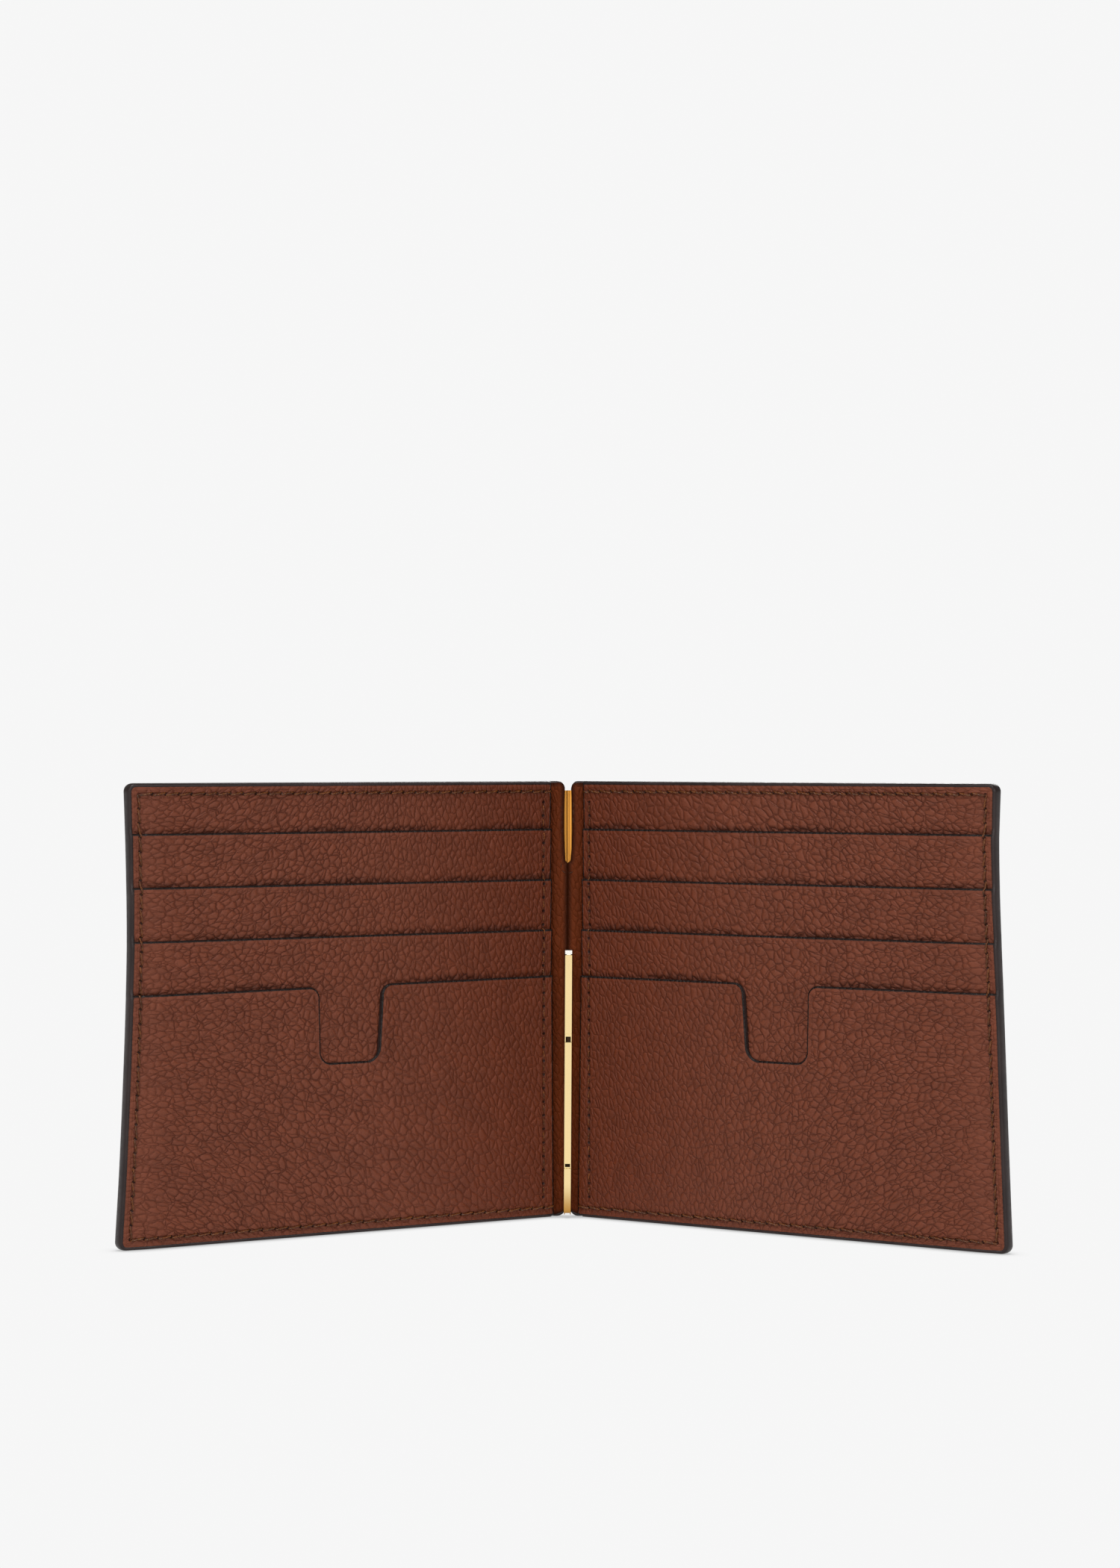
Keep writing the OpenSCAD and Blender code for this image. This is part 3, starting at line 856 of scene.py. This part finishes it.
def make_shell(side):
    """The outer cover from the middle of the spine to the panel's outer edge."""
    rows = merge_rows(spread(Z_LOW, Z_HIGH, 0.5, True, True), corner_rows(Z_LOW, SLIT_CORNER, 1),
                      corner_rows(Z_HIGH, SLIT_CORNER, -1), SHELL_NOTCH)
    limits = [np.full_like(rows, -FOLD_X), shell_edge(rows) - FOLD_X, right_end(rows, CORNER_R, CORNER_R)]
    columns = [shares(0, SHELL_GAP, 0.35), shares(SHELL_GAP - FOLD_X, U_END, 0.5, True, True)]
    grid = Grid(rows, limits, columns, [(SHELL_NOTCH[0] - 0.01, SHELL_NOTCH[1]), None])
    u, z = grid.u, grid.z
    inset = np.minimum(np.minimum(u - 0.65, U_END - u), np.minimum(z, WALLET_H - z))
    board_recess = 0.22 * np.clip((inset - 3.2) / 0.5, 0, 1)
    thinned = COVER_THINNING * np.clip((1.6 - (u + FOLD_X)) / 0.4, 0, 1)
    inner = COVER_T - board_recess - thinned
    obj = sheet(side + "_shell", side, grid, inner, np.zeros_like(u), 0, [OUTSIDE, PAINT, LIPS],
                outside=True, bends=True)
    finish_piece(obj, "cover_leather", side + "_cover", "spine_cover")
    blend_panel(obj)


def lining_front(u):
    """Depth of the lining's face, which stands out a little more on the spine."""
    return LINING_FRONT + (SPINE_LINING_FRONT - LINING_FRONT) * smooth((0.6 - u) / 1.2)


def make_lining(side):
    """The lining: its rolled lip closes the spine, and the rest lies under the pockets."""
    rows = merge_rows(spread(Z_LOW, Z_HIGH, 0.4, True, True), corner_rows(Z_HIGH, SLIT_CORNER, -1),
                      corner_rows(Z_LOW, SLIT_FOOT, 1), LENS_ROWS)
    edge = slit_edge(side, rows) - FOLD_X
    limits = [edge, np.full_like(rows, LIP_END), right_end(rows, CORNER_R, CORNER_R)]
    columns = [shares(-FOLD_X, LIP_END, 0.22, True, False), shares(LIP_END, U_END, 3.0)]
    grid = Grid(rows, limits, columns)
    u, z = grid.u, grid.z
    near = smooth((0.6 - u) / 1.2)
    roll = u - np.interp(z, rows, edge)
    puff = 0.16 * near * np.sin(np.pi * np.clip(roll / 3.6, 0, 1)) ** 0.8
    front = lining_front(u) + puff
    back = 0.92 + 0.07 * near
    turn = 1 - np.clip(roll / LIP_ROUND, 0, 1)
    front = back + 0.04 + (front - back - 0.04) * np.sqrt(1 - turn ** 2)
    grid.z = z + 0.28 * smooth((-1.2 - u) / 1.2) * smooth((z - 80) / 7)
    obj = sheet(side + "_lining", side, grid, front, back, 0.37, [LIPS, LIPS], bends=True, seam=False,
                relief=0.07, round_rim=0.05)
    finish_piece(obj, "inner_leather", side + "_lining", "spine_lining")
    blend_panel(obj)


def covered(side, k, u):
    """1 where the next mouth covers layer k, and 0 where the thumb notch leaves it open."""
    return smooth((np.abs(u - NOTCH_MID[side]) - 6.2) / 2.4) if k == 3 else np.ones_like(u)


def above_mouth(side, k, u, z):
    """Height above the mouth of pocket k."""
    return z - mouth(k) - (front_rise(side, u) if k == 4 else 0)


def tuck(side, k):
    """How strongly layer k gathers just above the next mouth."""
    def amount(u, z):
        above = above_mouth(side, k + 1, u, z)
        near = smooth((2.4 - above) / 2.4) * smooth((above + 0.6) / 0.6) * covered(side, k, u)
        return near * (0.65 + 0.35 * np.sin(u / 4.7 + k) * np.sin(u / 13.1 + 2 * k))
    return amount


def layer_depth(side, k, u, z):
    """Front and back of layer k, with the dip where it runs under the next mouth."""
    front = layer_face(k, z)
    back = layer_face(k - 1, z) + 0.02 if k else np.full_like(z, 1.29)
    if k < 4:
        front = front - 0.16 * covered(side, k, u) * smooth((1.3 - above_mouth(side, k + 1, u, z)) / 1.3)
    return np.maximum(front, back + 0.1), back


def make_layer(side, k):
    """The base sheet (k is 0) or one of the three card pockets."""
    top = Z_HIGH if k == 0 else mouth(k)
    low = Z_LOW if k == 0 else mouth(k) - POCKET_DEPTH
    seen = mouth(k + 1) - 1.2
    corner = 0 if k else CORNER_R
    corners = [] if k else [corner_rows(Z_HIGH, CORNER_R, -1), corner_rows(Z_LOW, CORNER_R, 1)]
    rows = merge_rows(spread(seen, top, 0.33, False, True), spread(low, seen, 2.5), *corners)
    limits = [stack_start(side, rows), right_end(rows, corner, corner)]
    grid = Grid(rows, limits, [shares(float(stack_start(side, 40)), U_END, 0.34, True, True)])
    front, back = layer_depth(side, k, grid.u, grid.z)
    name = side + ("_pocket_base" if k == 0 else f"_card_pocket_{k}")
    obj = sheet(name + "_leather", side, grid, front, back, FIRST_SEED[side] + k, [INSIDE, PAINT],
                soft=tuck(side, k))
    finish_piece(obj, "inner_leather", name)
    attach(obj, side + "_panel")


def notch_limits(side, rows):
    """Left and right limits of the thumb notch at each height."""
    top, low = FRONT_MOUTH, FRONT_MOUTH - NOTCH_DEPTH
    slope = (NOTCH_W[side] - NOTCH_BOTTOM_W[side]) / 2 / NOTCH_DEPTH
    wall = NOTCH_BOTTOM_W[side] / 2 + slope * np.clip(rows - low, 0, None)
    half = wall + rounding(rows - (top - NOTCH_R), NOTCH_R) - rounding(low + NOTCH_R - rows, NOTCH_R)
    return NOTCH_MID[side] - half, NOTCH_MID[side] + half


def make_front_pocket(side):
    """The deep front pocket, with the thumb notch in its mouth."""
    low_notch = FRONT_MOUTH - NOTCH_DEPTH
    rows = merge_rows(spread(Z_LOW, FRONT_MOUTH, 0.36, True, True), corner_rows(FRONT_MOUTH, NOTCH_R, -1),
                      corner_rows(low_notch, NOTCH_R, 1), corner_rows(Z_LOW, CORNER_R, 1),
                      [low_notch - f for f in FINE])
    left, right = notch_limits(side, rows)
    middle = NOTCH_MID[side]
    limits = [stack_start(side, rows), left, right, right_end(rows, CORNER_R, 0)]
    start = float(stack_start(side, 20))
    columns = [shares(start, middle - 6.5, 0.36, True, True), shares(0, 8.6, 0.36),
               shares(middle + 6.5, U_END, 0.36, True, True)]
    grid = Grid(rows, limits, columns, [None, (0, low_notch), None])
    u, z = grid.u, grid.z
    beside = np.exp(-(((middle - NOTCH_W[side] / 2 - u) / 2.4) ** 2)) * (u < middle)
    lip = 0.55 * beside * smooth((z - low_notch + 1) / 4) * (1 - 0.6 * smooth((z - FRONT_MOUTH + 3) / 3))
    grid.z = z + front_rise(side, u) * np.clip((z - 20) / (FRONT_MOUTH - 20), 0, 1)
    front, back = layer_depth(side, 4, u, grid.z)
    front = front + lip
    seed = FIRST_SEED[side] + 4
    obj = sheet(side + "_front_pocket_leather", side, grid, front, back, seed, [INSIDE, PAINT])
    finish_piece(obj, "inner_leather", side + "_front_pocket")
    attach(obj, side + "_panel")


# ---- painted edge

def arc_points(cu, cz, r, start, end, steps):
    turns = np.radians(np.linspace(start, end, steps + 1))
    return [(cu + r * math.cos(t), cz + r * math.sin(t)) for t in turns]


def edge_path(side):
    """The leather's outline from the top of the slit, round the panel, to the bottom of the slit."""
    c, r = SLIT_CORNER, CORNER_R
    slit = SHELL_GAP + c - FOLD_X
    start_high = float(stack_start(side, WALLET_H))
    start_low = float(stack_start(side, 0))
    path = arc_points(slit, Z_HIGH - c, c, 115, 90, 4)
    path += [(u, Z_HIGH) for u in np.linspace(path[-1][0], start_high - 0.04, 5)[1:]]
    path += [(u, Z_HIGH) for u in np.linspace(start_high + 0.04, U_END - r, 120)]
    path += arc_points(U_END - r, Z_HIGH - r, r, 90, 0, 8)[1:]
    path += [(U_END, Z_HIGH - r - 0.5 * i) for i in range(1, int(2 * (Z_HIGH - Z_LOW - 2 * r)))]
    path += arc_points(U_END - r, Z_LOW + r, r, 0, -90, 8)
    path += [(u, Z_LOW) for u in np.linspace(U_END - r, start_low + 0.04, 120)[1:]]
    path += [(u, Z_LOW) for u in np.linspace(start_low - 0.04, slit, 5)]
    path += arc_points(slit, Z_LOW + c, c, -90, -150, 8)[1:]
    return np.array(path)


def band_front(side, u, z):
    """Depth that the painted edge reaches on the inside."""
    on_stack = u > stack_start(side, z)
    near = [stack_face(side, u, z + dz) for dz in (-0.45, 0, 0.45)]
    return np.where(on_stack, sum(near) / 3, lining_front(u))


def edge_profile():
    """Section of the painted edge: how far out, the share of the half depth, and the shift inwards."""
    turns = np.radians(np.linspace(-90, 90, 11))
    arc = [(BULGE * math.cos(t) ** 0.75, math.copysign(abs(math.sin(t)) ** 0.85, t), 0.0) for t in turns]
    return [(-0.40, -1.0, 0.10), (-0.26, -1.0, 0.0), *arc, (-0.26, 1.0, 0.0), (-0.40, 1.0, -0.10)]


def make_edge_band(side):
    """Convex painted edge along the top, outside and bottom of the leather."""
    path = edge_path(side)
    run = np.gradient(path, axis=0)
    out = np.stack([-run[:, 1], run[:, 0]], -1)
    out /= np.hypot(*out.T)[:, None]
    front = band_front(side, path[:, 0], path[:, 1]) + 0.03
    jitter = random.Random(5 if side == "left" else 6)
    wander = np.cumsum([jitter.uniform(-1, 1) for _ in path])
    wander = 0.05 * np.sin(wander * 0.35)
    half = (front + 0.03) / 2
    points = []
    for reach, share, inward in edge_profile():
        uz = path + out * (reach + wander * (reach < -0.1))[:, None]
        depth = -0.03 + half + half * share + inward
        points.append(place(side, uz[:, 0], np.clip(uz[:, 1], 0, WALLET_H), depth))
    points = np.stack(points, 1)
    quads = strip_quads(*points.shape[:2])
    obj = new_mesh(side + "_edge_paint", points.reshape(-1, 3), quads, SIDES[side] < 0, [PAINT])
    close_ends(obj)
    finish_piece(obj, "cover_leather")
    blend_panel(obj)


def close_ends(obj):
    shape = bmesh.new()
    shape.from_mesh(obj.data)
    open_edges = [e for e in shape.edges if e.is_boundary]
    if open_edges:
        bmesh.ops.holes_fill(shape, edges=open_edges, sides=0)
    bmesh.ops.recalc_face_normals(shape, faces=shape.faces)
    shape.to_mesh(obj.data)
    shape.free()


# ---- stitching

def tube(centres, radius, sides=6):
    """A closed tube along centres in metres, as points and quads."""
    centres = np.asarray(centres)
    run = np.gradient(centres, axis=0)
    run /= np.linalg.norm(run, axis=1)[:, None]
    up = np.array([0.3, 0.9, 0.2])
    a = np.cross(run, up)
    a /= np.linalg.norm(a, axis=1)[:, None]
    b = np.cross(run, a)
    turns = np.linspace(0, 2 * math.pi, sides, endpoint=False)
    ring = a[:, None] * np.cos(turns)[:, None] + b[:, None] * np.sin(turns)[:, None]
    taper = np.ones(len(centres))
    taper[0] = taper[-1] = 0.45
    points = centres[:, None] + ring * (radius * taper)[:, None, None]
    return points.reshape(-1, 3), strip_quads(len(centres), sides)


def stitch(side, a, b, face, outward, jitter, bends, sizes=EDGE_STITCH):
    """Two plies twisted round each other that dive into the leather at both ends."""
    radius, ply, slant = sizes
    a, b = np.array(a), np.array(b)
    run = b - a
    across = np.array([-run[1], run[0]]) / np.linalg.norm(run)
    t = np.linspace(0, 1, 13)
    tilt = slant + jitter.uniform(-0.05, 0.05)
    lift = radius * (0.75 + jitter.uniform(-0.12, 0.18))
    line = a + run * t[:, None] + across * (tilt * (0.5 - t))[:, None]
    rise = lift * np.sin(math.pi * t) ** 0.45 - 0.22 * (np.abs(2 * t - 1) ** 6)
    depth = face(line[:, 0], line[:, 1]) + outward * rise
    turn = jitter.uniform(0, 2 * math.pi)
    result = []
    for half in (0, math.pi):
        angle = turn + half + t * 2 * math.pi * 1.4
        u, z = (line + across * (ply * np.cos(angle))[:, None]).T
        d = depth + outward * ply * np.sin(angle)
        result.append(tube(place(side, u, z, d, bends), radius * MM))
    return result


def join_tubes(name, tubes, material):
    points, quads = zip(*tubes)
    bases = np.cumsum([0] + [len(p) for p in points])
    quads = np.concatenate([q + base for q, base in zip(quads, bases)])
    obj = new_mesh(name, np.concatenate(points), quads, False, [material])
    close_ends(obj)
    return obj


def level(depth):
    """A face at the same depth everywhere."""
    return lambda u, z: np.full_like(u, depth)


def inside_face(side):
    def face(u, z):
        return np.where(u > stack_start(side, z), stack_face(side, u, z), LINING_FRONT + 0.02)
    return face


def make_stitching(side):
    """Lockstitch rows round the panel, on both faces, and the inner row through the pockets."""
    jitter = random.Random(11 if side == "left" else 12)
    outer, inner = [], []
    for a, b, inside_only in seam_lines(side):
        count = seam_count(a, b)
        a, b = np.array(a), np.array(b)
        for i in range(count):
            start = a + (b - a) * i / count
            end = a + (b - a) * (i + 1) / count
            if inside_only:
                mid = (start + end) / 2
                start, end = mid + (start - mid) * 0.5, mid + (end - mid) * 0.5
                inner += stitch(side, start, end, inside_face(side), 1, jitter, False, INNER_STITCH)
                continue
            outer += stitch(side, start, end, inside_face(side), 1, jitter, False)
            if start[0] > 1.2:
                outer += stitch(side, start, end, level(0), -1, jitter, False)
    obj = join_tubes(side + "_edge_stitches", outer, THREAD)
    finish_piece(obj, "thread", side + "_edge_stitching")
    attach(obj, side + "_panel")
    obj = join_tubes(side + "_inner_stitches", inner, INNER_THREAD)
    finish_piece(obj, "thread", side + "_inner_stitching")
    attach(obj, side + "_panel")


def make_spine_stitches():
    """Small dark stitches that hold the rail's pocket, and the tack below its opening."""
    jitter = random.Random(21)
    tubes = []
    sunk, proud = level(SPINE_LINING_FRONT - 0.08), level(SPINE_LINING_FRONT + 0.08)
    for side in SIDES:
        u = SPINE_ROW_GAP - FOLD_X
        low = SPINE_ROW_LOW[side]
        for i in range(int((SPINE_ROW_HIGH - low) / SPINE_PITCH)):
            z = low + (i + 0.12) * SPINE_PITCH
            end = (u, z + 0.76 * SPINE_PITCH)
            tubes += stitch(side, (u, z), end, sunk, 1, jitter, True, SPINE_STITCH)
        for start, end in TACK[side]:
            start, end = ((x - FOLD_X, z) for x, z in (start, end))
            tubes += stitch(side, start, end, proud, 1, jitter, True, SPINE_STITCH)
    obj = join_tubes("spine_stitches", tubes, SPINE_THREAD)
    finish_piece(obj, "thread", "spine_stitching")
    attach(obj, "spine")


# ---- clip

def bevelled(name, source, width, materials, slot, body, shape_it):
    """A copy of a CAD node with rounded edges; its hollows take the second material."""
    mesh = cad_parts[source].data.copy()
    obj = add_object(name, mesh)
    shape = bmesh.new()
    shape.from_mesh(mesh)
    bmesh.ops.remove_doubles(shape, verts=shape.verts, dist=1e-7)
    bmesh.ops.dissolve_limit(shape, angle_limit=math.radians(1), verts=shape.verts, edges=shape.edges)
    sharp = [e for e in shape.edges if len(e.link_faces) == 2 and e.calc_face_angle() > math.radians(30)]
    bmesh.ops.bevel(shape, geom=sharp, offset=width * MM, segments=2, profile=0.5, affect="EDGES",
                    clamp_overlap=True)
    hollow = shape_it(shape)
    for face in shape.faces:
        face.material_index = int(face in hollow)
    shape.to_mesh(mesh)
    shape.free()
    mesh.materials.clear()
    for material in materials:
        mesh.materials.append(material)
    mesh.polygons.foreach_set("use_smooth", np.ones(len(mesh.polygons), bool))
    mesh.set_sharp_from_angle(angle=math.radians(15))
    finish_piece(obj, slot, source)
    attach(obj, body)


def hollows(shape, skin, inside):
    """The faces more than skin behind the front of a piece that lie in one of its hollows."""
    front = min(v.co.y for v in shape.verts)
    middles = [(face, face.calc_center_median()) for face in shape.faces]
    return {face for face, middle in middles if middle.y > front + skin * MM and inside(face, middle)}


def lean_leaf(shape):
    """Leans the leaf spring or the arm a little to the right."""
    for vert in shape.verts:
        vert.co.x += ARM_LEAN * vert.co.z / ARM_TOP
    return set()


def lean_arm(shape):
    """Leans the arm; returns the faces inside its windows."""
    lean_leaf(shape)
    return hollows(shape, 0.12, lambda face, middle: any(abs(middle.z / MM - z) < h for z, h in ARM_WINDOWS))


def trim_cap(shape):
    """Leans the cap with the arm and makes it as wide as the arm."""
    for vert in shape.verts:
        vert.co.x = vert.co.x * 0.93 + ARM_LEAN * MM
    return set()


def groove_faces(shape):
    """The faces at the bottom and sides of the rail's lengthwise grooves."""
    def inside(face, middle):
        return abs(face.normal.z) < 0.5 and any(abs(middle.x / MM - x) < w for x, w in RAIL_GROOVES)
    return hollows(shape, 0.02, inside)


def make_clip():
    bevelled("arm", "clip_arm", 0.06, [GOLD, SHADOW_GOLD], "gold_metal", "clip", lean_arm)
    bevelled("leaf", "clip_leaf_spring", 0.02, [SHADED_STEEL], "spring_steel", "clip", lean_leaf)
    bevelled("tip_cap", "clip_tip_cap", 0.06, [HIGHLIT_CAP_GOLD], "gold_metal", "clip", trim_cap)
    bevelled("rail", "clip_rail", 0.03, [SHADED_RAIL_GOLD, SHADOW_GOLD], "gold_metal", "spine", groove_faces)


def dress_node(name, material):
    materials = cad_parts[name].data.materials
    for i in range(len(materials)):
        materials[i] = material


def main():
    bpy.context.scene.view_settings.view_transform = "Standard"
    add_camera()
    add_world()
    add_floor()
    add_lights()
    for side in SIDES:
        make_shell(side)
        make_lining(side)
        for k in range(4):
            make_layer(side, k)
        make_front_pocket(side)
        make_edge_band(side)
        make_stitching(side)
        dress_node(side + "_stiffener", BOARD)
    make_spine_stitches()
    make_clip()
    dress_node("clip_hinge_pin", STEEL)


main()
